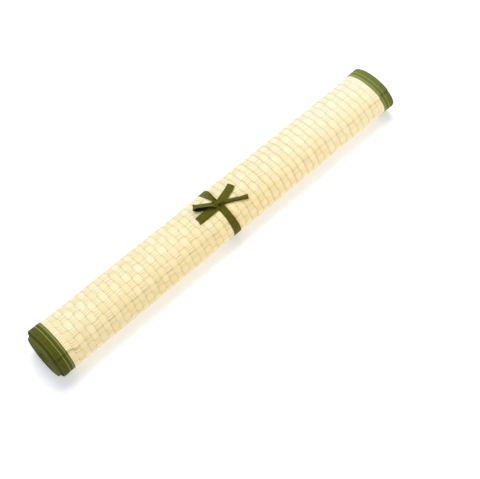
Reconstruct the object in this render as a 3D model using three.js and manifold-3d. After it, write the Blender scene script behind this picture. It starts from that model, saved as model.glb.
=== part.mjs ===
// A hand-woven pandanus mat, rolled up, bound with cloth tape along its two long edges and tied
// round the middle with a ribbon in a bow. Millimetres, +Z up.
//
// The roll lies along X on a small flat. Its near end is at -X and its far end at +X. It was rolled
// a little tighter at the far end, so it tapers, and its turns lean there: the front (-Y) of each
// turn sits further along X than the back. The mat is 700 mm wide and about 1.8 m long.
//
// Every piece is first drawn straight, on an axis along X that starts at the near tape's inner edge,
// and is then laid: scaled to the taper, leaned, lifted on to the ground and flattened below.

import * as THREE from 'three';
import Module from 'manifold-3d';
import { mergeVertices } from 'three/addons/utils/BufferGeometryUtils.js';

// The mat and its edge tapes, across the roll's length
const MAT_WIDTH = 700;
const NEAR_TAPE = 23;
const FAR_TAPE = 20;
const STRAW = MAT_WIDTH - NEAR_TAPE - FAR_TAPE;

// The wound section
const NEAR_RADIUS = 44.9;
const FAR_RADIUS = 41.1;
const MEAN_RADIUS = (NEAR_RADIUS + FAR_RADIUS) / 2;
const LAP_STEP = 1.8;
const LAP_ANGLE = THREE.MathUtils.degToRad(38);
const TAPE_PROUD = 1.3;
const FLAT_DEPTH = 0.8;
const FAR_LEAN = 0.14;

// The inner turns stand out of the outer two at the near end
const INNER_PROUD = 6.5;
const INNER_INSET = 4.3;

// The ribbon
const RIBBON_WIDTH = 12;
const RIBBON_THICK = 1;
const TIE_AT = 339;
const GAP = 0.3;

const wasm = await Module();
wasm.setup();

// Where the roll's surface and axis are, at a distance x from the near tape's inner edge.
const radiusAt = (x) => THREE.MathUtils.lerp(NEAR_RADIUS, FAR_RADIUS, x / STRAW);
const axisHeightAt = (x) => TAPE_PROUD + radiusAt(x) - FLAT_DEPTH;
const leanAt = (x) => FAR_LEAN * THREE.MathUtils.clamp(x / STRAW, 0, 1);
const TIE_TOP = axisHeightAt(TIE_AT) + radiusAt(TIE_AT) + LAP_STEP / 2;

// The outline of the wound mat, seen from the end: an Archimedean turn that loses LAP_STEP in one
// round, so that the loose edge stands on the turn below it. offset moves it all out or in, the
// face of the step too.
function turnPoints(offset, segments = 72) {
  const points = [];
  const stepAngle = LAP_ANGLE + offset / MEAN_RADIUS;
  for (let i = 0; i <= segments; i++) {
    const around = i / segments;
    const angle = stepAngle + around * Math.PI * 2;
    const radius = MEAN_RADIUS + offset + LAP_STEP * (around - 0.5);
    points.push(new THREE.Vector2(-radius * Math.sin(angle), radius * Math.cos(angle)));
  }
  return points;
}

// Extrudes an outline along X, from one distance to another.
function alongRoll(shape, from, to, steps) {
  const geometry = new THREE.ExtrudeGeometry(shape, { depth: to - from, steps, bevelEnabled: false });
  const toWorld = new THREE.Matrix4().set(0, 0, 1, from, 1, 0, 0, 0, 0, 1, 0, 0, 0, 0, 0, 1);
  return geometry.applyMatrix4(toWorld);
}

// Lays a straight piece: taper, lean, lift, and the flat it rests on at height ground.
function lay(geometry, ground, leans = true) {
  const position = geometry.getAttribute('position');
  for (let i = 0; i < position.count; i++) {
    const x = position.getX(i);
    const scale = radiusAt(x) / MEAN_RADIUS;
    const y = position.getY(i) * scale;
    const z = position.getZ(i) * scale + axisHeightAt(x);
    position.setXYZ(i, x - (leans ? leanAt(x) * y : 0), y, Math.max(z, ground));
  }
  return geometry;
}

// three.js geometry to a manifold-3d solid, and back.
function toSolid(geometry) {
  const bare = geometry.clone();
  bare.deleteAttribute('normal');
  bare.deleteAttribute('uv');
  const merged = mergeVertices(bare, 1e-3);
  const vertProperties = merged.getAttribute('position').array;
  const triVerts = new Uint32Array(merged.index.array);
  return new wasm.Manifold(new wasm.Mesh({ numProp: 3, vertProperties, triVerts }));
}

function toGeometry(solid) {
  const mesh = solid.getMesh();
  const geometry = new THREE.BufferGeometry();
  geometry.setAttribute('position', new THREE.BufferAttribute(mesh.vertProperties, 3));
  geometry.setIndex(new THREE.BufferAttribute(mesh.triVerts, 1));
  geometry.computeVertexNormals();
  return geometry;
}

const join = (...geometries) => toGeometry(geometries.map(toSolid).reduce((a, b) => a.add(b)));
const cut = (body, tool) => toGeometry(toSolid(body).subtract(toSolid(tool)));

// The straw mat between its tapes, as one wound form.
function strawRoll() {
  const shape = new THREE.Shape(turnPoints(0));
  return lay(alongRoll(shape, GAP / 2, STRAW - GAP / 2, 16), TAPE_PROUD);
}

// The near tape: the wound, tape-bound edge, with the inner turns standing out of it.
function nearBinding() {
  const outerTurns = new THREE.Shape(turnPoints(TAPE_PROUD));
  const innerTurns = new THREE.Shape(turnPoints(-INNER_INSET));
  const outer = alongRoll(outerTurns, -NEAR_TAPE, -GAP / 2, 1);
  const inner = alongRoll(innerTurns, -NEAR_TAPE - INNER_PROUD, -NEAR_TAPE / 2, 1);
  return join(lay(outer, 0), lay(inner, 0));
}

// The far tape: the same wound edge, its turns level with each other.
function farBinding() {
  const turns = new THREE.Shape(turnPoints(TAPE_PROUD));
  return lay(alongRoll(turns, STRAW + GAP / 2, STRAW + FAR_TAPE, 1), 0);
}

// The band of ribbon round the roll, upright and clear of the mat by GAP.
function tieBand() {
  const half = RIBBON_WIDTH / 2;
  const outer = new THREE.Shape(turnPoints(GAP + RIBBON_THICK));
  const inner = new THREE.Shape(turnPoints(GAP));
  const body = lay(alongRoll(outer, TIE_AT - half, TIE_AT + half, 1), 0, false);
  const hollow = alongRoll(inner, TIE_AT - 2 * half, TIE_AT + 2 * half, 1);
  return cut(body, lay(hollow, TAPE_PROUD - GAP, false));
}

// A drop-shaped outline that starts and ends in a point at x = from.
function dropPoints(from, length, height, segments = 28) {
  const points = [];
  for (let i = 0; i < segments; i++) {
    const turn = (i / segments) * Math.PI * 2;
    const x = from + (length * (1 - Math.cos(turn))) / 2;
    points.push(new THREE.Vector2(x, -(height / 1.54) * Math.sin(turn) * Math.sin(turn / 2)));
  }
  return points;
}

// Turns a strip's side outline (distance from the knot, height) into the strip, points it in the
// direction heading on the roll's top, tips it by tilt about its own length, and sets its height.
function fromKnot(shape, heading, tilt, height) {
  const settings = { depth: RIBBON_WIDTH, bevelEnabled: false };
  const strip = new THREE.ExtrudeGeometry(shape, settings);
  strip.translate(0, 0, -RIBBON_WIDTH / 2);
  strip.rotateX(Math.PI / 2 + THREE.MathUtils.degToRad(tilt));
  strip.rotateZ(THREE.MathUtils.degToRad(heading));
  return strip.translate(TIE_AT, 0, TIE_TOP + height);
}

// A loop of the bow: a drop-shaped ring of ribbon.
function bowLoop({ length, height, heading, tilt, lift }) {
  const shape = new THREE.Shape(dropPoints(0, length, height));
  const wall = RIBBON_THICK;
  shape.holes.push(new THREE.Path(dropPoints(4 * wall, length - 5 * wall, height - 2.4 * wall)));
  return fromKnot(shape, heading, tilt, lift);
}

// A tail of the bow: a strip that leaves the knot and sags on to the roll.
function bowTail({ length, drop, heading, tilt, lift }) {
  const sag = (at) => -drop * THREE.MathUtils.smoothstep(at, 0, 1);
  const steps = 10;
  const points = [];
  for (let i = 0; i <= steps; i++) {
    points.push(new THREE.Vector2((length * i) / steps, sag(i / steps)));
  }
  for (let i = steps; i >= 0; i--) {
    points.push(new THREE.Vector2((length * i) / steps, sag(i / steps) + RIBBON_THICK));
  }
  return fromKnot(new THREE.Shape(points), heading, tilt, lift);
}

// The ribbon: one piece, round the roll and tied on top. Both loops lie towards the near end and
// both tails towards the far end. Angles are in degrees from +X, towards the back.
function ribbonTie() {
  const knot = new THREE.SphereGeometry(1, 20, 12).scale(8.5, 5.5, 4);
  knot.translate(TIE_AT, 0, TIE_TOP + GAP + 4);
  return join(
    tieBand(),
    knot,
    bowLoop({ length: 40, height: 9, heading: 150, tilt: 12, lift: 6 }),
    bowLoop({ length: 42, height: 5, heading: 183, tilt: 0, lift: 4.5 }),
    bowTail({ length: 36, drop: 1.8, heading: 20, tilt: -12, lift: 3 }),
    bowTail({ length: 46, drop: 2.4, heading: -20, tilt: 14, lift: 3 }),
  );
}

const straw = new THREE.MeshStandardMaterial({ color: 0xe8d9a8, roughness: 0.6, metalness: 0 });
const oliveTape = new THREE.MeshStandardMaterial({ color: 0x4f5a1e, roughness: 0.85, metalness: 0 });
const oliveRibbon = new THREE.MeshStandardMaterial({ color: 0x4a4d1c, roughness: 0.85, metalness: 0 });

const pieces = [
  ['mat_roll', strawRoll(), straw],
  ['near_binding', nearBinding(), oliveTape],
  ['far_binding', farBinding(), oliveTape],
  ['ribbon_tie', ribbonTie(), oliveRibbon],
];

const rolledMat = new THREE.Group();
for (const [name, geometry, material] of pieces) {
  const mesh = new THREE.Mesh(geometry, material);
  mesh.name = name;
  rolledMat.add(mesh);
}

// The origin is under the middle of the whole roll, on the ground.
const middle = new THREE.Box3().setFromObject(rolledMat).getCenter(new THREE.Vector3());
rolledMat.position.set(-middle.x, -middle.y, 0);

export default rolledMat;
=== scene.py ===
# %% [markdown]
# # A rolled pandanus mat, tied with a ribbon
#
# The mat is plaited from flat strips of dried pandanus leaf. Both of its cut sides are bound with
# olive cloth tape. It is rolled up, and a narrow olive ribbon is tied round it in a bow.
#
# The roll lies along X, from its near end, where the inner turns stand out, to its far end. Y goes to
# the back and Z goes up. Lengths are worked out in millimetres, because that is how a maker measures
# a mat, and they become metres only when a mesh is made.

import math

import bpy
import numpy as np
from mathutils import Matrix, Vector


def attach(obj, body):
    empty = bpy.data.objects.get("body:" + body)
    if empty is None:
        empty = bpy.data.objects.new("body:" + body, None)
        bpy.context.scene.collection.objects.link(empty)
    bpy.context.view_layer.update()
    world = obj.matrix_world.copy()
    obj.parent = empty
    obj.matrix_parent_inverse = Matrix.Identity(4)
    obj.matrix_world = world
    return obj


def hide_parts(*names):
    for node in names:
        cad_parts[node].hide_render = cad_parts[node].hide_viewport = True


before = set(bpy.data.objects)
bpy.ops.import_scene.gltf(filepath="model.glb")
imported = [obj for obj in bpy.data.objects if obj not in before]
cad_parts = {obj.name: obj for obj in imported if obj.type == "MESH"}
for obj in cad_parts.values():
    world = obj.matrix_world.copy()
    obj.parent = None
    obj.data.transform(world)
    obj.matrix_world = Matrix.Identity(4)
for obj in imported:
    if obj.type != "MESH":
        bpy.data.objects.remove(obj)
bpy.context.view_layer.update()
chance = np.random.default_rng(7)

# %% [markdown]
# ## The sizes of the roll
#
# The roll is a little thicker at its near end, because it was wound looser there. Its far end leans:
# the winding drifted sideways as it was rolled, so that end isn't square to the roll. These numbers
# are the ones that the plain shape is made from, so both stand in the same place.

# %% Sizes in millimetres
MILLIMETRE = 0.001
STRAW = 657.0
NEAR_TAPE = 23.0
FAR_TAPE = 20.0
NEAR_RADIUS = 44.9
FAR_RADIUS = 41.1
MEAN_RADIUS = 43.0
FAR_LEAN = 0.14
LAP_ANGLE = math.radians(38)
TAPE_PROUD = 1.3
FLAT_DEPTH = 0.8
MAT_THICK = 1.6
BOUND_THICK = 3.0
RIBBON_THICK = 0.55
PITCH = 3.1
TURNS = 10.1
LAP_MIDDLE = 2.0
LAP_END = 3.2
NEAR_PROUD = 6.5
TIE_AT = 339.0
TIE_WIDE = 12.0
WORLD_SHIFT = np.array([-326.659, -0.4707, 0.0])


def ease(low, high, value):
    """0 below low, 1 above high, and 3t^2 - 2t^3 between, where t is the share of the way from low."""
    t = np.clip((value - low) / (high - low), 0, 1)
    return t * t * (3 - 2 * t)


def radius_at(x):
    """The roll's outer radius, which goes evenly from the near one to the far one."""
    return NEAR_RADIUS + (FAR_RADIUS - NEAR_RADIUS) * x / STRAW


def axis_height(x):
    """The axis lies one radius above the floor, less the part that is pressed flat."""
    return TAPE_PROUD + radius_at(x) - FLAT_DEPTH


def from_ends(x):
    """How far x is inside the nearer straw border. It is negative on the tapes."""
    return np.minimum(x, STRAW - x)


def waves(value, lengths, size):
    """A slow uneven drift: a sum of sine waves of these lengths, each with its own random phase."""
    total = np.zeros(np.shape(value))
    for length in lengths:
        total = total + np.sin(2 * np.pi * value / length + chance.uniform(0, 2 * np.pi))
    return size * total / len(lengths)


def straw_radius(x, turn):
    """The outer face of the wound mat. turn counts inwards from the loose edge, the highest point.
    The first turn drops by one lap. Each later turn drops by the pitch, after a small air gap.
    The lap is deeper and the straw rises near the ends, because the bound edges are thicker there."""
    inside = from_ends(x)
    lap = LAP_MIDDLE + (LAP_END - LAP_MIDDLE) * (1 - ease(0, 22, inside))
    rise = 0.6 * (1 - ease(0, 12, inside))
    air = 2.1 * ease(1.0, 1.16, turn)
    return radius_at(x) + rise + lap * (0.5 - np.minimum(turn, 1)) - PITCH * np.maximum(turn - 1, 0) - air


def sideways(x, turn):
    """How far a turn stands out past the first one. Only the near end does, and no two are level."""
    share = 1 - np.clip(x / STRAW, 0, 1)
    uneven = 0.45 * np.sin(turn * 4.1) + 0.35 * np.sin(turn * 7.3 + 1)
    return -share * NEAR_PROUD * ease(1.22, 1.55, turn) + uneven * ease(1.2, 1.8, turn)


def place(x, turn, radius, floor=0.0):
    """World points in millimetres. The angle runs from the top down the front, and turns wind back from
    the lap: y is -radius sin(angle) and z is radius cos(angle) over the axis."""
    angle = LAP_ANGLE - 2 * np.pi * turn
    y = -radius * np.sin(angle)
    z = radius * np.cos(angle) + axis_height(x)
    lean = FAR_LEAN * np.clip(x / STRAW, 0, 1)
    z = np.maximum(z, floor)
    return np.stack(np.broadcast_arrays(x - lean * y, y, z), -1) + WORLD_SHIFT


print("the eye in the middle is", round(2 * (straw_radius(330.0, TURNS) - BOUND_THICK), 1), "mm wide")

# %% [markdown]
# ## Making a surface
#
# Every piece is a grid of points worked out by a formula, and a mesh is only the faces between
# them. The marks on a mesh say things that its material needs to know at each point, such as how much
# painted shade lies in a groove.

# %% Helpers that turn grids of points into meshes
def grid_quads(rows, columns, closed=False):
    """The corners of each face between neighbouring points of a grid. closed joins the last column to
    the first."""
    r = np.arange(rows - 1)[:, None]
    c = np.arange(columns if closed else columns - 1)[None, :]
    after = (c + 1) % columns
    corners = [r * columns + c, r * columns + after, (r + 1) * columns + after, (r + 1) * columns + c]
    return np.stack(np.broadcast_arrays(*corners), -1).reshape(-1, 4)


def make_surface(name, points, quads, uv, material, marks=None):
    """A smooth mesh from points and uv in millimetres. marks are numbers at the points."""
    flat = np.asarray(points, float).reshape(-1, 3) * MILLIMETRE
    mesh = bpy.data.meshes.new(name)
    mesh.vertices.add(len(flat))
    mesh.vertices.foreach_set("co", flat.ravel())
    mesh.loops.add(4 * len(quads))
    mesh.loops.foreach_set("vertex_index", quads.astype(np.int32).ravel())
    mesh.polygons.add(len(quads))
    mesh.polygons.foreach_set("loop_start", np.arange(0, 4 * len(quads), 4, dtype=np.int32))
    mesh.polygons.foreach_set("use_smooth", np.ones(len(quads), bool))
    mesh.update(calc_edges=True)
    layer = mesh.uv_layers.new(name="UVMap")
    chosen = (np.asarray(uv, float).reshape(-1, 2) * MILLIMETRE)[quads.ravel()]
    layer.data.foreach_set("uv", chosen.astype(np.float32).ravel())
    for key, values in (marks or {}).items():
        attribute = mesh.attributes.new(key, "FLOAT", "POINT")
        attribute.data.foreach_set("value", np.asarray(values, np.float32).ravel())
    mesh.materials.append(material)
    piece = bpy.data.objects.new(name, mesh)
    bpy.context.scene.collection.objects.link(piece)
    return piece


def settle(piece, node):
    """The piece moves with the roll and stands for its plain shape, which is hidden."""
    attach(piece, "root")
    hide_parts(node)
    print(piece.name, "has", len(piece.data.polygons), "faces")
    return piece


print("helpers are ready")

# %% [markdown]
# ## Finishes
#
# A material is built from small groups of nodes. A dried leaf has long veins, so its grain is noise
# that is stretched along the strip, whichever way the strip runs. Tape and ribbon are both plain
# woven cloth, so they share one group that crosses two sets of thin threads.

# %% Helpers for shader nodes
def add(tree, kind, inputs=None, **settings):
    """A node, with its settings, its fixed inputs, and links to its inputs from other nodes' sockets."""
    made = tree.nodes.new(kind)
    for key, value in settings.items():
        setattr(made, key, value)
    for key, value in (inputs or {}).items():
        if isinstance(value, bpy.types.NodeSocket):
            tree.links.new(value, made.inputs[key])
        else:
            made.inputs[key].default_value = value
    return made


def maths(tree, operation, first, second=0.0, third=0.0):
    """One sum on two or three values, each a number or another node's socket."""
    made = add(tree, "ShaderNodeMath", {0: first, 1: second, 2: third}, operation=operation)
    return made.outputs[0]


def blend_colours(tree, factor, first, second, way="MIX"):
    """Two colours mixed by a factor from 0 to 1."""
    made = add(tree, "ShaderNodeMix", {0: factor, 6: first, 7: second}, data_type="RGBA", blend_type=way)
    return made.outputs[2]


def mark(tree, name):
    """The number that the mesh carries under this name."""
    return add(tree, "ShaderNodeAttribute", attribute_name=name).outputs["Fac"]


def new_group(name, inputs, outputs):
    """An empty node group, and its input and output nodes."""
    tree = bpy.data.node_groups.new(name, "ShaderNodeTree")
    kinds = {"value": "NodeSocketFloat", "colour": "NodeSocketColor", "vector": "NodeSocketVector"}
    for key, kind in inputs:
        tree.interface.new_socket(key, in_out="INPUT", socket_type=kinds[kind])
    for key, kind in outputs:
        tree.interface.new_socket(key, in_out="OUTPUT", socket_type=kinds[kind])
    return tree, tree.nodes.new("NodeGroupInput"), tree.nodes.new("NodeGroupOutput")


def use_group(tree, group, inputs):
    """A group node inside a material."""
    return add(tree, "ShaderNodeGroup", inputs, node_tree=group)


def new_material(name, roughness, specular=0.3):
    """A material with its shader. What is the same all over is set on the shader itself."""
    material = bpy.data.materials.new(name)
    material.use_nodes = True
    tree = material.node_tree
    shader = tree.nodes["Principled BSDF"]
    shader.inputs["Roughness"].default_value = roughness
    shader.inputs["Specular IOR Level"].default_value = specular
    return material, tree, shader


print("node helpers are ready")

# %% [markdown]
# The veins of a leaf could be drawn one by one, but they are finer than a hair and there are thousands.
# Noise that changes fast across the strip and slowly along it looks the same. The creases are a sine wave
# across the strip, whose phase drifts, so that they are nearly even but never quite.

# %% The grain of a leaf strip
grain_group, given, result = new_group(
    "leaf grain",
    [("along", "value"), ("across", "value"), ("tone", "value"), ("creases", "value")],
    [("colour", "colour"), ("height", "value")],
)


def stretched_noise(per_metre_across, per_metre_along, detail, roughness):
    """Noise drawn out along the strip. The tone moves it on, so that no two strips are alike."""
    spread = {
        0: maths(grain_group, "MULTIPLY", given.outputs["across"], per_metre_across),
        1: maths(grain_group, "MULTIPLY", given.outputs["along"], per_metre_along),
        2: maths(grain_group, "MULTIPLY", given.outputs["tone"], 40.0),
    }
    where = add(grain_group, "ShaderNodeCombineXYZ", spread).outputs[0]
    settings = {"Vector": where, "Scale": 1.0, "Detail": detail, "Roughness": roughness}
    return add(grain_group, "ShaderNodeTexNoise", settings)


CREASE_APART = 0.0037
veins = stretched_noise(620.0, 16.0, 3.0, 0.6)
drift = stretched_noise(170.0, 22.0, 1.0, 0.5)
even_folds = maths(grain_group, "MULTIPLY", given.outputs["across"], 2 * math.pi / CREASE_APART)
uneven_folds = maths(grain_group, "MULTIPLY_ADD", drift.outputs["Fac"], 9.0, even_folds)
pleats = add(grain_group, "ShaderNodeMath", {0: uneven_folds}, operation="SINE")
streak = maths(grain_group, "MULTIPLY_ADD", veins.outputs["Fac"], 1.5, -0.25)
leaf_tones = add(grain_group, "ShaderNodeValToRGB", {"Fac": given.outputs["tone"]})
ramp = leaf_tones.color_ramp
LEAF_COLOURS = [
    (0.00, (0.86, 0.76, 0.42)),
    (0.28, (0.88, 0.77, 0.43)),
    (0.50, (0.90, 0.81, 0.49)),
    (0.70, (0.92, 0.84, 0.55)),
    (0.82, (0.86, 0.81, 0.48)),
    (0.92, (0.87, 0.75, 0.48)),
    (1.00, (0.79, 0.66, 0.36)),
]
ramp.elements[0].position = LEAF_COLOURS[0][0]
ramp.elements[0].color = (*LEAF_COLOURS[0][1], 1)
ramp.elements[1].position = LEAF_COLOURS[-1][0]
ramp.elements[1].color = (*LEAF_COLOURS[-1][1], 1)
for position, colour in LEAF_COLOURS[1:-1]:
    ramp.elements.new(position).color = (*colour, 1)
VEIN_SHADE = (0.72, 0.64, 0.46, 1)
vein_colour = blend_colours(grain_group, 1.0, leaf_tones.outputs["Color"], VEIN_SHADE, "MULTIPLY")
from_none = maths(grain_group, "MULTIPLY_ADD", pleats.outputs[0], 0.5, 0.5)
crease = maths(grain_group, "POWER", from_none, 2.5)
creased = maths(grain_group, "MULTIPLY", crease, given.outputs["creases"])
crease_share = maths(grain_group, "MULTIPLY", creased, 0.7)
vein_share = maths(grain_group, "MULTIPLY_ADD", streak, 0.22, crease_share)
streaked = blend_colours(grain_group, vein_share, leaf_tones.outputs["Color"], vein_colour)
height = maths(grain_group, "MULTIPLY_ADD", creased, -1.2, veins.outputs["Fac"])
grain_group.links.new(streaked, result.inputs["colour"])
grain_group.links.new(height, result.inputs["height"])
print("leaf grain has", len(grain_group.nodes), "nodes")

# %% [markdown]
# In plain woven cloth one set of threads goes over and under the other. Two sine waves at right angles,
# multiplied, rise and fall in the same checker, so they stand for the threads without modelling them.

# %% The threads of woven cloth
cloth_group, given, result = new_group(
    "woven threads",
    [("place", "vector"), ("pitch", "value"), ("light", "colour"), ("dark", "colour")],
    [("colour", "colour"), ("height", "value")],
)
parts = add(cloth_group, "ShaderNodeSeparateXYZ", {0: given.outputs["place"]})
turns_per_metre = maths(cloth_group, "DIVIDE", 2 * math.pi, given.outputs["pitch"])
warp = maths(cloth_group, "SINE", maths(cloth_group, "MULTIPLY", parts.outputs[0], turns_per_metre))
weft = maths(cloth_group, "SINE", maths(cloth_group, "MULTIPLY", parts.outputs[1], turns_per_metre))
crossing = maths(cloth_group, "MULTIPLY", warp, weft)
worn = add(
    cloth_group,
    "ShaderNodeTexNoise",
    {"Vector": given.outputs["place"], "Scale": 220.0, "Detail": 4.0, "Roughness": 0.65},
)
lit = maths(cloth_group, "MULTIPLY_ADD", crossing, 0.16, worn.outputs["Fac"])
cloth_colour = blend_colours(cloth_group, lit, given.outputs["dark"], given.outputs["light"])
cloth_height = maths(cloth_group, "MULTIPLY_ADD", worn.outputs["Fac"], 0.6, crossing)
cloth_group.links.new(cloth_colour, result.inputs["colour"])
cloth_group.links.new(cloth_height, result.inputs["height"])
print("woven threads has", len(cloth_group.nodes), "nodes")

# %% [markdown]
# Dried pandanus is cream, and it runs from nearly white to tan from leaf to leaf. It is a little
# glossy on its ridges. Where a strip dives under its neighbour its colour is painted darker, as painted
# shade with some dust. The strips that run along the roll keep long, uneven creases, 3 to 4 mm apart,
# from when the leaf was flattened. The far end is painted paler, as painted light.
#
# The tape and the ribbon are painted paler where they are rubbed, and the tape's hem and rim also carry a
# painted highlight. Painted shade darkens the ribbon where its own folds shade it. The mesh says where,
# because both follow the way that the cloth is folded.

# %% The plaited leaf
leaf, tree, shader = new_material("dried pandanus leaf", 0.52, 0.35)
uv = add(tree, "ShaderNodeUVMap", uv_map="UVMap").outputs[0]
flat_place = add(tree, "ShaderNodeSeparateXYZ", {0: uv})
lengthwise = mark(tree, "lengthwise")
along = add(tree, "ShaderNodeMix", {0: lengthwise, 2: flat_place.outputs[1], 3: flat_place.outputs[0]})
across = add(tree, "ShaderNodeMix", {0: lengthwise, 2: flat_place.outputs[0], 3: flat_place.outputs[1]})
creases = maths(tree, "MULTIPLY_ADD", lengthwise, 0.88, 0.12)
grain = use_group(
    tree,
    grain_group,
    {
        "along": along.outputs[0],
        "across": across.outputs[0],
        "tone": mark(tree, "tone"),
        "creases": creases,
    },
)
# Painted shade: the leaf's colour is darkened towards GROOVE_SHADE where the mesh marks shade, in the
# joints and dives between strips, under the loose edge and on the inner turns.
unshaded_share = mark(tree, "unshaded_share")
GROOVE_SHADE = (0.56, 0.49, 0.30, 1)
groove_colour = blend_colours(tree, 1.0, grain.outputs["colour"], GROOVE_SHADE, "MULTIPLY")
leaf_colour = blend_colours(tree, unshaded_share, groove_colour, grain.outputs["colour"])
# Painted light: the straw's far end is painted paler and whiter, for the brighter light there.
PAINTED_FAR_LIGHT_COLOUR = (0.90, 0.90, 0.74, 1)
leaf_colour = blend_colours(tree, mark(tree, "painted_far_light"), leaf_colour, PAINTED_FAR_LIGHT_COLOUR)
tree.links.new(leaf_colour, shader.inputs["Base Color"])
relief_share = maths(tree, "MULTIPLY_ADD", lengthwise, 0.7, 0.3)
relief = maths(tree, "MULTIPLY", grain.outputs["height"], relief_share)
bump = add(tree, "ShaderNodeBump", {"Height": relief, "Strength": 0.55, "Distance": 0.00022})
tree.links.new(bump.outputs[0], shader.inputs["Normal"])
print("leaf material has", len(tree.nodes), "nodes")

# %% The tape, the ribbon and the stitching thread
TAPE_LIGHT = (0.150, 0.154, 0.016, 1)
TAPE_DARK = (0.042, 0.043, 0.002, 1)
RIBBON_LIGHT = (0.190, 0.172, 0.012, 1)
RIBBON_DARK = (0.048, 0.043, 0.002, 1)
WORN_CLOTH = (0.32, 0.33, 0.09, 1)
PAINTED_SHADE_CLOTH = (0.008, 0.010, 0.001, 1)
THREAD_LIGHT = (0.50, 0.50, 0.14, 1)
THREAD_DARK = (0.30, 0.31, 0.05, 1)


def cloth_material(name, light, dark, pitch, roughness, relief):
    """Woven cloth, lighter where the mesh marks wear and painted highlight, and darker where it marks
    painted shade.
    """
    material, tree, shader = new_material(name, roughness, 0.08)
    uv = add(tree, "ShaderNodeUVMap", uv_map="UVMap").outputs[0]
    cloth = use_group(tree, cloth_group, {"place": uv, "pitch": pitch, "light": light, "dark": dark})
    paler = blend_colours(tree, mark(tree, "worn"), cloth.outputs["colour"], WORN_CLOTH)
    # Painted shade: the cloth is darkened where the mesh marks its folds as shaded.
    deeper = blend_colours(tree, mark(tree, "painted_shade"), paler, PAINTED_SHADE_CLOTH)
    tree.links.new(deeper, shader.inputs["Base Color"])
    woven = cloth.outputs["height"]
    bump = add(tree, "ShaderNodeBump", {"Height": woven, "Strength": 0.6, "Distance": relief})
    tree.links.new(bump.outputs[0], shader.inputs["Normal"])
    return material


tape_cloth = cloth_material("olive cloth tape", TAPE_LIGHT, TAPE_DARK, 0.0009, 0.7, 0.0002)
ribbon_cloth = cloth_material("olive ribbon", RIBBON_LIGHT, RIBBON_DARK, 0.0008, 0.55, 0.0002)
thread, tree, shader = new_material("stitching thread", 0.6, 0.3)
uv = add(tree, "ShaderNodeUVMap", uv_map="UVMap").outputs[0]
twist = add(
    tree,
    "ShaderNodeTexWave",
    {"Vector": uv, "Scale": 330.0, "Distortion": 0.6},
    bands_direction="DIAGONAL",
)
thread_colour = blend_colours(tree, twist.outputs["Fac"], THREAD_DARK, THREAD_LIGHT)
tree.links.new(thread_colour, shader.inputs["Base Color"])
bump = add(tree, "ShaderNodeBump", {"Height": twist.outputs["Fac"], "Strength": 0.5, "Distance": 0.0001})
tree.links.new(bump.outputs[0], shader.inputs["Normal"])
print("materials:", [m.name for m in bpy.data.materials])

# %% [markdown]
# ## The plaited mat
#
# The mat is a plain plait. Flat strips run round the roll, side by side, 12 mm apart. Others run along
# it, 14.5 mm apart. Each strip goes over one crossing strip and then under the next, so the face is a
# checker of small tiles. A tile's two long edges are a strip's own edges, which stand up as a
# clean step. At its other two ends the strip dives under its neighbours. Next to each tape the strips
# round the roll stop, and 10 mm of bare lengthwise strips go into the binding.
#
# Each strip could be a mesh of its own, but then more than seventy of them would have to cross one
# another without touching. Here the outer turn is one grid, with lines just inside each strip's edges,
# so that each step is real. Its first lines fold round the loose edge, to give the sheet its thickness.

# %% Where the grid lines of the outer turn lie
BORDER = 10.0
COLUMNS = 53
COLUMN = (STRAW - 2 * BORDER) / COLUMNS
ROW = 14.45
ROWS = 20
ROUND = 2 * math.pi * MEAN_RADIUS
EDGE_BACK = 4.8

in_column = np.array([0.012, 0.05, 0.17, 0.5, 0.83, 0.95, 0.988])
in_row = np.array([0.010, 0.035, 0.12, 0.3, 0.5, 0.7, 0.88, 0.965, 0.99])
in_border = np.array([-1.5, 0.3, 1.5, 4.0, 7.0, 9.2, 9.85])
border_lines = len(in_border)

column_number = np.repeat(np.arange(COLUMNS), len(in_column))
column_share = np.tile(in_column, COLUMNS)
column_lines = BORDER + (column_number + column_share) * COLUMN
line_x = np.concatenate([in_border, column_lines, STRAW - in_border[::-1]])
near_column = np.full(border_lines, -1)
far_column = np.full(border_lines, COLUMNS)
line_column = np.concatenate([near_column, column_number, far_column])
border_share = np.full(border_lines, 0.5)
line_u = np.concatenate([border_share, column_share, border_share])

edge_s = np.array([16.0, 0.5, -0.15, -0.15])
edge_drop = np.array([MAT_THICK, MAT_THICK, 1.25, 0.4])
row_number = np.repeat(np.arange(ROWS), len(in_row))
row_share = np.tile(in_row, ROWS)
line_s = np.concatenate([edge_s, (row_number + row_share) * ROW])
line_drop = np.concatenate([edge_drop, np.zeros(len(row_number))])
line_row = np.concatenate([np.zeros(len(edge_s), int), row_number])
line_v = np.concatenate([np.full(len(edge_s), in_row[0]), row_share])
print(len(line_x), "lines along the roll and", len(line_s), "lines round it")

# %% [markdown]
# The relief is one sum for the whole grid. A strip is highest in the middle of its tile, dips where it
# dives under its neighbours, and ends in a clean step at its own edges. Whether a tile's upper strip runs
# along the roll or round it depends only on whether its column and row numbers add up to an even number.

# %% How high each point of the plait stands
STRIP_HIGH = 0.22
LENGTHWISE_DIVE = 0.46
ROUND_DIVE = 0.38
EDGE_DIP = 0.10
EDGE_REACH = 0.2
PAIR_REACH = 1.1

x, s = np.meshgrid(line_x, line_s)
column, row = np.meshgrid(line_column, line_row)
u, v = np.meshgrid(line_u, line_v)
drop = np.broadcast_to(line_drop[:, None], x.shape)
border = (column < 0) | (column >= COLUMNS)
over = border | ((column + row) % 2 == 0)

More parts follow.
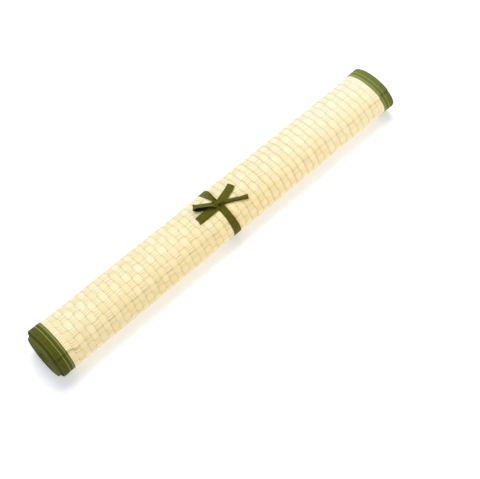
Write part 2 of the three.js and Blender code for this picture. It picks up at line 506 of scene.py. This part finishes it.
from_side_x = np.minimum(u, 1 - u) * COLUMN
from_side_s = np.minimum(v, 1 - v) * ROW
dive_x = np.where(border, 0.0, np.abs(2 * u - 1) ** 4)
dive_s = np.abs(2 * v - 1) ** 4
clean_x = EDGE_DIP * np.exp(-from_side_x / EDGE_REACH)
clean_s = EDGE_DIP * np.exp(-from_side_s / EDGE_REACH)
strip_tilt = 0.05 * (1 - 2 * v)
strip_swell = 0.08 * (1 - (2 * v - 1) ** 2)
lengthwise_height = STRIP_HIGH - LENGTHWISE_DIVE * dive_x - clean_s + strip_tilt + strip_swell
round_height = STRIP_HIGH - ROUND_DIVE * dive_s - clean_x
far_share = ease(240, 480, x)
crown = np.where(border, 0.0, (0.30 + 0.10 * far_share) * (0.6 - (2 * u - 1) ** 2))
to_pair = np.abs((column + u + 1) % 2 - 1) * COLUMN
pair_groove = np.where(border, 0.0, (0.04 + 0.10 * far_share) * np.exp(-((to_pair / PAIR_REACH) ** 2)))
cell_chance = chance.uniform(-1, 1, (ROWS, COLUMNS + 2))[row, column + 1]
relief = np.where(over, lengthwise_height, round_height) + crown - pair_groove + 0.06 * cell_chance
relief = np.where(drop > 0, 0.0, relief)
print("the plait's relief goes from", round(relief.min(), 2), "to", round(relief.max(), 2), "mm")

# %% [markdown]
# The shade that gathers in the joints between strips is painted into the leaf's colour, and leaves differ
# in tone. Both are worked out beside the relief, from the same distances, and the mesh carries them to
# its material. So the painted shade always lies where the steps are. Each strip keeps one tone over its
# whole length, with a small change from tile to tile, since a leaf isn't even either.

# %% What the leaf material needs to know
DIVE_REACH = 1.1
SIDE_REACH = 0.45
CORNER_SHADE = 0.45
LAP_SHADE = 0.90

to_dive = np.where(over, from_side_x, from_side_s)
to_side = np.where(over, from_side_s, from_side_x)
to_corner = np.hypot(from_side_x, from_side_s)
# Painted shade: the joints on each tile's front side are painted darker than those at its back, since the
# light comes from behind.
front_gap = np.where(over, v < 0.5, v > 0.5)
# The painted shade in the joints round the roll grows towards the far end.
ring_dark = 0.8 + 1.15 * far_share
dive_dark = np.where(over, 0.18 * ring_dark, np.where(front_gap, 0.28, 0.07))
side_dark = np.where(over, np.where(front_gap, 0.24, 0.05), 0.12 * ring_dark)
unshaded_share = 1 - dive_dark * np.exp(-to_dive / DIVE_REACH) * ~border
unshaded_share = unshaded_share * (1 - side_dark * np.exp(-to_side / SIDE_REACH))
unshaded_share = unshaded_share * (1 - CORNER_SHADE * np.exp(-((to_corner / DIVE_REACH) ** 2)) * ~border)
unshaded_share = unshaded_share * (1 - 0.12 * (pair_groove / 0.14))
unshaded_share = unshaded_share * (1 - 0.11 * ring_dark * np.exp(-((from_side_x / 1.3) ** 2)) * ~border)
# Painted shade under the loose edge, darkest beside the near tape.
under_lap = np.exp(-np.clip(ROUND - 0.5 - s, 0, None) / 1.3) * (s > ROUND - 12)
unshaded_share = unshaded_share * (1 - (0.06 + LAP_SHADE * (1 - ease(9, 30, x))) * under_lap)
row_tone = chance.uniform(0.38, 0.70, ROWS)
column_tone = chance.uniform(0.22, 0.58, COLUMNS + 2)
odd_rows = chance.uniform(0, 1, ROWS) < 0.10
odd_columns = chance.uniform(0, 1, COLUMNS + 2) < 0.10
row_tone = np.where(odd_rows, 0.78, row_tone)
column_tone = np.where(odd_columns, 0.82, column_tone)
leaf_piece = chance.uniform(-0.09, 0.09, (ROWS, COLUMNS + 2))[row, column + 1]
tone = np.clip(np.where(over, row_tone[row], column_tone[column + 1]) + leaf_piece, 0, 1)
tone = np.where(border, np.clip(row_tone[row], 0.55, 0.78), tone)
# Painted light: the paler, whiter colour grows towards the far end, where the light is brighter.
PAINTED_FAR_LIGHT_SHARE = 0.28
painted_far_light = PAINTED_FAR_LIGHT_SHARE * ease(330, 640, x)
print("tones average", round(float(tone.mean()), 2))
print("openness averages", round(float(unshaded_share.mean()), 2))

# %% [markdown]
# A plait made by hand isn't even. The strips drift, and toward the far end the two next to the loose
# edge are 2 mm narrower, which the next two make up. The straw crept as it was rolled, so its loose edge
# lies about 5 mm further round than the tapes' ends, and it is pulled back only beside the near tape. The
# far end is painted a little paler, as painted light.

# %% The outer turn of the mat
inside = ease(2, 18, from_ends(x))
stand_back = EDGE_BACK * ease(7, 14, x) * (1 - ease(ROUND + 1, ROUND + 16, s))
narrowed = np.interp(s / ROW, [0, 1, 2, 3, 4], [0, 2.0, 4.2, 2.0, 0]) * ease(230, 380, x)
wander_x = inside * (waves(x, [31, 53, 87], 0.5) + waves(s, [70, 110], 0.35))
wander_s = inside * (waves(x, [41, 130, 300], 1.5) + waves(s, [60, 95], 0.8))
turn = (s + wander_s - stand_back - narrowed) / ROUND
thinned = 1.15 * (1 - ease(0, 11, s)) * ease(12, 40, x) * (drop < 1)
radius = straw_radius(x, turn) + relief - drop - thinned
under_tape = np.clip(-from_ends(x), 0, None) * np.where(x < STRAW / 2, 1, -1)
tucked = 1.5 * under_tape * (1 - ease(0, 9, s))
outer_points = place(x + wander_x + tucked, turn, radius, TAPE_PROUD)
outer_quads = grid_quads(*x.shape)[:, ::-1]
outer_turn = make_surface(
    "mat_outer_turn",
    outer_points,
    outer_quads,
    uv=np.stack([x, s], -1),
    marks={
        "tone": tone,
        "lengthwise": over.astype(float),
        "unshaded_share": unshaded_share,
        "painted_far_light": painted_far_light,
    },
    material=leaf,
)
settle(outer_turn, "mat_roll")

# %% [markdown]
# The turns inside are the same sheet, and only their edges and the wall of the eye can be seen. They
# are a plain slab, wound on from where the outer turn ends. It thins away at the last end, where
# the maker started to roll.

# %% Stations along the winding
def stations(start, end, spacing):
    """Turn numbers whose points lie one spacing apart on the sheet. The arc is the radius times the
    angle, added up over short steps."""
    fine = np.linspace(start, end, 4000)
    middle = straw_radius(STRAW / 2, fine) - MAT_THICK / 2
    between = (middle[1:] + middle[:-1]) / 2
    arc = np.concatenate([[0], np.cumsum(2 * np.pi * between * np.diff(fine))])
    even = np.linspace(0, arc[-1], int(arc[-1] / spacing) + 1)
    return np.interp(even, arc, fine), even


OUTER_END = (ROWS * ROW) / ROUND
inner_turns, inner_arc = stations(OUTER_END - 0.01, TURNS, 2.6)
all_turns, all_arc = stations(0, TURNS, 5.0)
print("the mat is", round(all_arc[-1]), "mm long when it is unrolled")
print("and", round(STRAW + NEAR_TAPE + FAR_TAPE), "mm wide with its tapes")

# %% The inner turns of the mat
from_border = np.array([-8.0, 0, 8, 20, 120])
slab_x = np.concatenate([from_border, [330], [540], STRAW - from_border[3::-1]])
slab_lines = len(slab_x)
ring_lines = 2 * slab_lines
ring_x = np.concatenate([slab_x, slab_x[::-1]])
ring_in = np.concatenate([np.zeros(slab_lines), np.full(slab_lines, MAT_THICK)])
x, turn = np.meshgrid(ring_x, inner_turns)
depth = np.broadcast_to(ring_in, x.shape)
thinning = ease(0, 2.0, inner_arc[-1] - inner_arc)[:, None]
depth = MAT_THICK / 2 + (depth - MAT_THICK / 2) * (0.15 + 0.85 * thinning)
radius = straw_radius(x, turn) - depth
inner_points = place(x + sideways(x, turn), turn, radius, TAPE_PROUD)
inner_uv = np.stack([x, np.broadcast_to(inner_arc[:, None], x.shape)], -1)
k = np.arange(slab_lines - 1)
cap = np.stack([k, k + 1, ring_lines - 2 - k, ring_lines - 1 - k], -1)
last_ring = (len(inner_turns) - 1) * ring_lines
walls = grid_quads(*x.shape, closed=True)[:, ::-1]
slab_quads = np.concatenate([walls, cap, cap[:, ::-1] + last_ring])
inner_sheet = make_surface(
    "mat_inner_turns",
    inner_points,
    slab_quads,
    uv=inner_uv,
    marks={
        "tone": 0.4 + 0.3 * np.sin(inner_uv[..., 1] / 9.0),
        "lengthwise": np.ones(x.shape),
        # Painted shade: the inner turns are darkened a little all over.
        "unshaded_share": np.full(x.shape, 0.85),
        "painted_far_light": np.zeros(x.shape),
    },
    material=leaf,
)
settle(inner_sheet, "mat_roll")

# %% [markdown]
# ## The tapes
#
# A strip of olive cloth is folded over each cut side of the mat, and runs the whole length of the
# sheet. Its hem is turned under, so a thin double edge lies along the straw. One line of stitches
# holds both layers down and pulls a groove into them. Past it the tape puffs out a little over
# the thick plait, and rounds over the mat's edge. The hem is rubbed paler and also carries a painted
# highlight, the rim carries a painted highlight, the turns inside are a little paler, and the far tape is
# painted paler, as painted light.

# %% The folded profile of a tape
STITCH_LONG = 3.2
THREAD_RADIUS = 0.56
RIB = 2.9


def tape_profile(wide, stitched_at):
    """How far each point is from the hem, how high over the sheet's middle, and how pale it is painted:
    rubbed paler at the hem, which also carries a painted highlight, and a painted highlight on the rim.
    """
    half = BOUND_THICK / 2
    turned = np.array([0.0, 0.05, 0.4, 1.3, 2.2, 2.6, 3.0, 3.8, 4.8, 6.0])
    before = stitched_at - np.array([3.0, 1.6, 0.8, 0.35, 0.0, -0.35, -0.8, -1.6, -3.0])
    after = np.linspace(stitched_at + 4.6, wide - half, 5)
    out = np.concatenate([turned, before, after])
    hem = 0.16 * (1 - ease(2.2, 3.0, out))
    groove = 0.34 * np.exp(-(((out - stitched_at) / 0.75) ** 2))
    puff = 0.14 * np.sin(np.pi * np.clip((out - stitched_at) / (wide - half - stitched_at), 0, 1))
    high = half - 0.1 + hem - groove + puff
    high[0] = 0.7
    high[1] = half - 0.05
    bend = np.linspace(0.25, np.pi - 0.25, 7)
    back = np.array([wide - half, wide - 9, 6.0, 0.0, 0.0])
    out = np.concatenate([out, wide - half + half * np.sin(bend), back])
    high = np.concatenate([high, half * np.cos(bend), [-half, -half, -half, -half, -0.7]])
    # The hem is rubbed paler and also carries a painted highlight. The paleness at the rim is a painted
    # highlight.
    worn = 0.80 * np.exp(-(((out - 2.8) / 1.5) ** 2))
    worn = worn + 0.10 * np.exp(-(((out - stitched_at) / 1.2) ** 2))
    worn = worn + 0.12 * np.exp(-(((out - wide + 0.6) / 1.0) ** 2))
    worn = np.where(high < 0, 0.0, worn)
    return out, high, worn


def bind(name, node, start, way, wide, stitched_at, end_ramp, painted_light_share):
    """A tape carried along the winding. way is -1 to go out from the near border, and 1 from the far
    one. end_ramp is the length over which it thins at its two ends. The last argument is how much paler
    the tape is painted, as painted light."""
    out, high, worn = tape_profile(wide, stitched_at)
    outer, outer_arc = stations(0, 2.6, 0.85)
    rest, rest_arc = stations(2.6, TURNS + 0.01, 2.2)
    turns = np.concatenate([outer, rest[1:]])
    arc = np.concatenate([outer_arc, outer_arc[-1] + rest_arc[1:]])
    d, turn = np.meshgrid(out, turns)
    across, travel = np.meshgrid(out, arc)
    ends = 0.66 + 0.34 * ease(0, end_ramp, np.minimum(arc, arc[-1] - arc))[:, None]
    ends[[0, -1]] = 0.05
    pucker = np.exp(-(((d - stitched_at) / 2.2) ** 2)) * np.sin(2 * np.pi * travel / STITCH_LONG)
    hem_wave = np.exp(-((d / 2.5) ** 2)) * waves(travel, [23, 41], 0.25)
    plait_ribs = ease(stitched_at + 2, stitched_at + 5, d) * waves(travel, [ROW, 7.2, RIB], 0.26)
    past_stitches = ease(stitched_at + 3, stitched_at + 7, d)
    plait_ribs = plait_ribs + 0.11 * past_stitches * np.sin(2 * np.pi * travel / RIB)
    lift = np.where(high > 0, 0.07 * pucker + plait_ribs, 0.0) + 0.3 * hem_wave
    height = (high + lift) * ends
    x = start + way * (d + 0.5 * hem_wave)
    radius = straw_radius(x, turn) - MAT_THICK / 2 + height
    points = place(x + sideways(x, turn), turn, radius)
    run = np.concatenate([[0], np.cumsum(np.hypot(np.diff(out), np.diff(high)))])
    uv = np.stack([np.broadcast_to(run, d.shape), travel], -1)
    quads = grid_quads(*d.shape)
    quads = quads if way > 0 else quads[:, ::-1]
    inner_turn = 0.12 * ease(1.05, 1.25, turn)
    # The paleness mark holds wear, painted highlights on hem and rim, and the far tape's painted light.
    shown = np.clip(worn + painted_light_share + inner_turn + 0.12 * pucker * (d < wide - 3), 0, 1)
    marks = {"worn": shown, "painted_shade": np.zeros(d.shape)}
    tape = make_surface(name, points, quads, uv=uv, marks=marks, material=tape_cloth)
    settle(tape, node)
    print(name, "is cut", round(run[-1]), "mm wide and", round(arc[-1]), "mm long")
    return tape, run[-1], arc[-1]


NEAR_STITCHED = 10.3
FAR_STITCHED = 9.9
near_tape, near_wide, tape_long = bind(
    "near_tape", "near_binding", 0.0, -1, NEAR_TAPE, NEAR_STITCHED, end_ramp=11.0, painted_light_share=0.0
)
# Painted light: the far tape is painted paler, for the brighter light on the far end.
far_tape, far_wide, _ = bind(
    "far_tape", "far_binding", STRAW, 1, FAR_TAPE, FAR_STITCHED, end_ramp=20.0, painted_light_share=0.38
)

# %% [markdown]
# The stitches are a thick yellow-green thread. Each one is a short rod that bulges in its middle and
# goes down through the cloth at both ends, and they follow one another every 3.2 mm.

# %% The stitches
def stitch_line(name, node, start, way, stitched_at):
    """Rods laid end to end round the outer turn. Each rod's outline is a long, blunt oval."""
    turns, arc = stations(0.004, OUTER_END - 0.02, 0.4)
    count = int(arc[-1] / STITCH_LONG)
    middle = (np.arange(count) + 0.5) * STITCH_LONG
    step = np.linspace(-1, 1, 11)
    around = np.linspace(0, 2 * np.pi, 9)[:-1]
    c, w, a = np.meshgrid(middle, step, around, indexing="ij")
    number = np.broadcast_to(np.arange(count)[:, None, None], c.shape)
    slant = chance.uniform(-0.12, 0.12, count)[number]
    thick = THREAD_RADIUS * np.sqrt(np.clip(1 - np.abs(w) ** 4, 0, 1))
    along_arc = c + 1.5 * w
    turn = np.interp(along_arc, arc, turns)
    x = start + way * (stitched_at + slant * w + 1.05 * thick * np.cos(a))
    hump = 0.30 * (1 - w**2)
    high = BOUND_THICK / 2 - 0.42 + hump + thick * 0.85 * np.sin(a)
    radius = straw_radius(start + way * stitched_at, turn) - MAT_THICK / 2 + high
    points = place(x, turn, radius)
    one = grid_quads(len(step), len(around), closed=True)
    first_point = np.arange(count) * len(step) * len(around)
    quads = (one[None] + first_point[:, None, None]).reshape(-1, 4)
    quads = quads if way < 0 else quads[:, ::-1]
    uv = np.stack([a * 0.5, along_arc], -1)
    line = make_surface(name, points, quads, uv=uv, material=thread)
    settle(line, node)
    return line


near_stitches = stitch_line("near_stitches", "near_binding", 0.0, -1, NEAR_STITCHED)
far_stitches = stitch_line("far_stitches", "far_binding", STRAW, 1, FAR_STITCHED)

# %% [markdown]
# ## The ribbon
#
# The ribbon is one olive strip, 12 mm wide. It goes once round the roll and is tied on top in a bow
# whose two loops point to the near end and whose two free ends point to the far end. Where it goes
# into the knot it is gathered, so its width curls up into a gutter. Each piece of it is a path for its
# middle and a curl for its width, because both can be read and changed one at a time.

# %% A ribbon laid along a path
ACROSS_SHARE = np.linspace(-1, 1, 17)
ACROSS_POINTS = len(ACROSS_SHARE)


def smooth_path(corners, count):
    """Points on the curve through all the corners: each stretch is the cubic that leaves with half the
    chord between its neighbours (a Catmull-Rom curve)."""
    corners = np.asarray(corners, float)
    padded = np.vstack([2 * corners[0] - corners[1], corners, 2 * corners[-1] - corners[-2]])
    t = np.linspace(0, len(corners) - 1, count)
    k = np.minimum(t.astype(int), len(corners) - 2)
    f = (t - k)[:, None]
    p0, p1, p2, p3 = padded[k], padded[k + 1], padded[k + 2], padded[k + 3]
    bent = (2 * p0 - 5 * p1 + 4 * p2 - p3) * f**2 + (3 * p1 - p0 - 3 * p2 + p3) * f**3
    return 0.5 * (2 * p1 + (p2 - p0) * f + bent)


def unit(vectors):
    """The same directions with length 1."""
    return vectors / np.maximum(np.linalg.norm(vectors, axis=-1, keepdims=True), 1e-9)


def ribbon_strip(name, path, across, curl, wide=TIE_WIDE, pleats=0.0, painted_shade=0.0):
    """A strip whose section is an arc of its full width. curl is half the angle that the arc turns
    through, so 0 is flat and 3 is nearly a tube. Its middle lies on the path. A radius of
    width / (2 curl) keeps the width. The last argument is how dark each point is painted, as painted
    shade."""
    count = len(path)
    run = unit(np.gradient(path, axis=0))
    side = np.broadcast_to(np.asarray(across, float), path.shape)
    side = unit(side - np.sum(side * run, -1, keepdims=True) * run)
    up = np.cross(run, side)
    share = ACROSS_SHARE
    bend = np.broadcast_to(np.asarray(curl, float), count)[:, None]
    size = np.broadcast_to(np.asarray(wide, float), count)[:, None]
    folds = np.broadcast_to(np.asarray(pleats, float), count)[:, None]
    bend = np.where(np.abs(bend) < 0.02, 0.02, bend)
    arc = size / 2 / bend
    sideways_by = arc * np.sin(share * bend)
    up_by = arc * (1 - np.cos(share * bend)) + folds * np.cos(3 * np.pi * share)
    points = path[:, None] + side[:, None] * sideways_by[..., None] + up[:, None] * up_by[..., None]
    length = np.concatenate([[0], np.cumsum(np.linalg.norm(np.diff(path, axis=0), axis=1))])
    uv = np.stack(np.broadcast_arrays(share * size / 2, length[:, None]), -1)
    worn = np.broadcast_to(0.18 * ease(0.90, 1.0, np.abs(share)), uv.shape[:2])
    marks = {"worn": worn, "painted_shade": np.broadcast_to(painted_shade, uv.shape[:2])}
    quads = grid_quads(count, ACROSS_POINTS)
    piece = make_surface(name, points, quads, uv=uv, marks=marks, material=ribbon_cloth)
    shell = piece.modifiers.new("thickness", "SOLIDIFY")
    shell.thickness = RIBBON_THICK * MILLIMETRE
    shell.offset = 0.0
    settle(piece, "ribbon_tie")
    print(name, "is", round(length[-1]), "mm long")
    return piece, length[-1]


# %% The band round the roll
MAT_TOP = axis_height(TIE_AT) + radius_at(TIE_AT) + LAP_MIDDLE / 2
KNOT = np.array([TIE_AT, 0.0, MAT_TOP + 4.2]) + WORLD_SHIFT
angle = np.radians(np.linspace(2, 357, 220))
edge_angle = LAP_ANGLE + 2 * np.pi * EDGE_BACK / ROUND
turn = np.mod((edge_angle - angle) / (2 * np.pi), 1.0)
lap_side = LAP_MIDDLE * (0.5 - turn)
REACH = 6
wrapped = np.concatenate([lap_side[-REACH:], lap_side, lap_side[:REACH]])
window = np.ones(2 * REACH + 1) / (2 * REACH + 1)
soft_step = np.convolve(wrapped, window, "valid")
band_radius = radius_at(TIE_AT) + np.maximum(soft_step, lap_side - 0.1) + 0.50
knot_rise = 2.6 * (1 - ease(0, 0.20, angle)) + 2.6 * ease(2 * math.pi - 0.24, 2 * math.pi, angle)
band_radius = band_radius + knot_rise
band_path = np.stack(
    [
        TIE_AT + 3.0 * np.sin(angle),
        -band_radius * np.sin(angle),
        np.maximum(band_radius * np.cos(angle) + axis_height(TIE_AT), 0.36),
    ],
    -1,
)
back_side = ease(5.35, 6.12, angle)
front_side = 1 - ease(0.0, 0.22, angle)
back_flare = 1.6 * ease(4.6, 5.1, angle) * (1 - ease(5.3, 5.9, angle))
front_flare = 1.2 * ease(0.5, 1.3, angle) * (1 - ease(1.6, 2.4, angle))
band, band_long = ribbon_strip(
    "ribbon_band",
    band_path + WORLD_SHIFT,
    (1, 0, 0),
    0.04 + 2.0 * back_side + 0.9 * front_side,
    wide=12.6 + back_flare + front_flare,
    pleats=0.25 * back_side,
)


# %% The loops and the free ends
def around_knot(heading, along, aside, high):
    """A point measured from the roll's top at the knot: along a heading, to its left, and up."""
    turned = math.radians(heading)
    forward = np.array([math.cos(turned), math.sin(turned), 0.0])
    left = np.array([-math.sin(turned), math.cos(turned), 0.0])
    base = np.array([KNOT[0], KNOT[1], MAT_TOP])
    return base + along * forward + aside * left + np.array([0, 0, high])


def loop_path(heading, long, open_by, lean_by, low):
    """Out along the top, round the outer end, and back underneath. lean_by moves the lower run left."""
    corners = [
        around_knot(heading, 1.0, 0.5, 5.4),
        around_knot(heading, long * 0.22, 0.8, low + open_by * 0.80 + 1.0),
        around_knot(heading, long * 0.52, 0.6, low + open_by + 0.4),
        around_knot(heading, long * 0.86, 0.2, low + open_by * 0.95),
        around_knot(heading, long * 1.0, lean_by * 0.45, low + open_by * 0.52),
        around_knot(heading, long * 0.90, lean_by * 0.95, low + 0.25),
        around_knot(heading, long * 0.55, lean_by, low),
        around_knot(heading, long * 0.20, lean_by * 0.6, low + 0.8),
        around_knot(heading, 1.0, 0.0, 2.4),
    ]
    return smooth_path(corners, 96)


def side_of(heading, tilt):
    """The direction across a ribbon that heads this way, with its left edge tilted up by tilt degrees."""
    turned = math.radians(heading)
    up = np.radians(tilt)
    level = np.cos(up)
    return np.stack([-math.sin(turned) * level, math.cos(turned) * level, np.sin(up)], -1)


share = np.linspace(0, 1, 96)
BACK_LOOP = 148
FRONT_LOOP = 180
loop_side = side_of(BACK_LOOP, 44 - 40 * ease(0.46, 0.60, share))
at_knot = np.maximum(1 - ease(0, 0.16, share), ease(0.86, 1.0, share))
# Painted shade inside the back loop, where its top strand shades its lower strand.
inside_loop = (ease(0.54, 0.64, share) * 0.75)[:, None] * np.ones(ACROSS_POINTS)
loop_back, loop_back_long = ribbon_strip(
    "ribbon_loop_back",
    loop_path(BACK_LOOP, long=41.5, open_by=8.2, lean_by=1.2, low=1.4),
    loop_side,
    -(0.10 + 2.1 * at_knot),
    pleats=0.3 * at_knot,
    painted_shade=inside_loop,
)
loop_front, loop_front_long = ribbon_strip(
    "ribbon_loop_front",
    loop_path(FRONT_LOOP, long=43, open_by=2.4, lean_by=1.0, low=1.0),
    side_of(FRONT_LOOP, tilt=-3),
    -(0.06 + 1.15 * at_knot),
    wide=12.8,
    pleats=0.3 * at_knot,
)
tail_back_path = smooth_path(
    [
        around_knot(17, -1.0, 0.0, 4.6),
        around_knot(17, 8.5, 0.2, 4.6),
        around_knot(16, 19.0, 0.3, 3.6),
        around_knot(17, 30.0, 0.0, 2.8),
        around_knot(19, 39.5, 0.0, 1.4),
    ],
    56,
)
share = np.linspace(0, 1, 56)
tail_back, tail_back_long = ribbon_strip(
    "ribbon_tail_back",
    tail_back_path,
    side_of(17, tilt=-10),
    -(0.1 + 1.3 * (1 - ease(0, 0.26, share)) + 0.15 * ease(0.8, 1.0, share)),
    wide=12.8,
    pleats=0.3 * (1 - ease(0, 0.3, share)),
)
tail_front_path = smooth_path(
    [
        around_knot(-24, -1.0, 0.0, 4.6),
        around_knot(-22, 9.0, 0.0, 5.0),
        around_knot(-23, 23.0, 0.4, 4.0),
        around_knot(-24, 38.0, 0.2, 2.4),
        around_knot(-24, 49.5, 0.2, 1.6),
    ],
    64,
)
share = np.linspace(0, 1, 64)
# Painted shade along the front tail's lower fold.
lower_fold = (1 - ease(0.45, 0.85, share))[:, None] * np.exp(-(((ACROSS_SHARE + 0.62) / 0.28) ** 2))
tail_front, tail_front_long = ribbon_strip(
    "ribbon_tail_front",
    tail_front_path,
    side_of(-24, tilt=10),
    -(1.95 - 0.5 * ease(0.72, 1.0, share)),
    pleats=0.2 * (1 - ease(0, 0.3, share)),
    painted_shade=0.85 * lower_fold,
)

# %% The knot
knot_path = smooth_path(
    [
        KNOT + np.array([-9.4, 3.0, -3.6]),
        KNOT + np.array([-8.6, 2.8, 2.2]),
        KNOT + np.array([-2.5, 1.8, 5.9]),
        KNOT + np.array([3.8, 0.4, 5.7]),
        KNOT + np.array([9.6, -1.0, 2.4]),
        KNOT + np.array([10.0, -1.4, -3.4]),
    ],
    48,
)
share = np.linspace(0, 1, 48)
# Painted shade along the lower edge of the knot's crossing strand.
toward_ends = (0.35 + 0.65 * ease(0.3, 0.5, share))[:, None]
under_edge = toward_ends * (1 - ease(-0.95, -0.55, ACROSS_SHARE))
knot_top, knot_top_long = ribbon_strip(
    "ribbon_knot_top",
    knot_path,
    (0.28, 0.96, 0.10),
    -(1.35 + 0.4 * np.abs(2 * share - 1)),
    wide=9.5,
    pleats=0.3,
    painted_shade=under_edge,
)
WRAP_STATIONS = 64
wrap_angle = np.linspace(0, 2 * math.pi, WRAP_STATIONS)
wrap_path = np.stack(
    [
        KNOT[0] + 0.5 + 0.8 * np.sin(wrap_angle),
        KNOT[1] + 0.4 + 5.0 * np.sin(wrap_angle),
        KNOT[2] - 1.2 + 2.9 * np.cos(wrap_angle),
    ],
    -1,
)
# Painted shade: the wrap under the knot is darkened all over.
knot_wrap, knot_wrap_long = ribbon_strip(
    "ribbon_knot_wrap",
    wrap_path,
    (1, 0, 0),
    0.7,
    wide=9.0,
    pleats=0.35,
    painted_shade=0.55 * np.ones((WRAP_STATIONS, ACROSS_POINTS)),
)

# %% [markdown]
# ## The length of the ribbon
#
# A sheet can be bent but not stretched much. The lengths of the band, the loops and the free ends are
# added up here.

ribbon_long = band_long + loop_back_long + loop_front_long + tail_back_long + tail_front_long
print("ribbon in all:", round(ribbon_long), "mm")

# %% [markdown]
# ## Floor, light and camera
#
# The roll lies on a plain white floor, under one big soft light high up behind it, which the camera
# sees to its left. A white room fills the shade. A warm light low at the front reaches only the straw, as
# the glow of something yellow beside it would. Another light falls on the floor alone, to keep it white.

# %% The floor and the lights
floor_mesh = bpy.data.meshes.new("floor")
floor_mesh.from_pydata([(-6, -6, 0), (6, -6, 0), (6, 6, 0), (-6, 6, 0)], [], [(0, 1, 2, 3)])
floor = bpy.data.objects.new("floor", floor_mesh)
bpy.context.scene.collection.objects.link(floor)
floor_white, tree, shader = new_material("white floor", 0.9, 0.1)
shader.inputs["Base Color"].default_value = (0.93, 0.93, 0.95, 1)
floor_mesh.materials.append(floor_white)

room = bpy.data.worlds.new("white room")
bpy.context.scene.world = room
room.use_nodes = True
room.node_tree.nodes["Background"].inputs["Color"].default_value = (0.93, 0.95, 1.0, 1)
room.node_tree.nodes["Background"].inputs["Strength"].default_value = 0.54


def soft_light(name, place_at, aim, size, power, colour):
    """A square lamp that faces a point."""
    lamp = bpy.data.lights.new(name, "AREA")
    lamp.shape = "SQUARE"
    lamp.size = size
    lamp.energy = power
    lamp.color = colour
    made = bpy.data.objects.new(name, lamp)
    bpy.context.scene.collection.objects.link(made)
    made.location = place_at
    made.rotation_mode = "QUATERNION"
    made.rotation_quaternion = (Vector(aim) - Vector(place_at)).to_track_quat("-Z", "Y")
    return made


soft_light("window light", (0.45, 1.05, 3.08), (0, 0, 0), 1.7, 76.0, (0.95, 0.98, 1.12))
warm = soft_light("warm side", (0.4, -0.95, 0.30), (0.05, 0, 0.04), 1.3, 6.0, (1.0, 0.62, 0.04))
lit_pieces = bpy.data.collections.new("the straw that the warm side reaches")
for piece in [outer_turn, inner_sheet]:
    lit_pieces.objects.link(piece)
warm.light_linking.receiver_collection = lit_pieces

floor_lamp = bpy.data.lights.new("floor light", "SUN")
floor_lamp.energy = 1.1
floor_lamp.use_shadow = False
floor_light = bpy.data.objects.new("floor light", floor_lamp)
bpy.context.scene.collection.objects.link(floor_light)
floor_only = bpy.data.collections.new("what the floor light reaches")
floor_only.objects.link(floor)
floor_light.light_linking.receiver_collection = floor_only
bpy.context.scene.view_settings.view_transform = "Standard"

# %% [markdown]
# The camera looks down from the front left with a long lens, about four metres away, so the roll's two
# ends differ only a little in size. Its three directions are written out as one matrix.

# %% Camera
camera_data = bpy.data.cameras.new("camera")
camera = bpy.data.objects.new("camera", camera_data)
bpy.context.scene.collection.objects.link(camera)
camera_data.sensor_width = 36.0
camera_data.lens = 181.1
camera_data.clip_start = 0.1
camera_data.clip_end = 50.0
right = Vector((0.75594, -0.65463, -0.00468))
up = Vector((0.62060, 0.71433, 0.32341))
back = Vector((-0.20837, -0.24738, 0.94625))
turned = Matrix((right, up, back)).transposed().to_4x4()
camera.matrix_world = Matrix.Translation((-0.80198, -1.01895, 3.72770)) @ turned
bpy.context.scene.camera = camera
print("camera stands", round(camera.matrix_world.translation.length, 2), "m away")
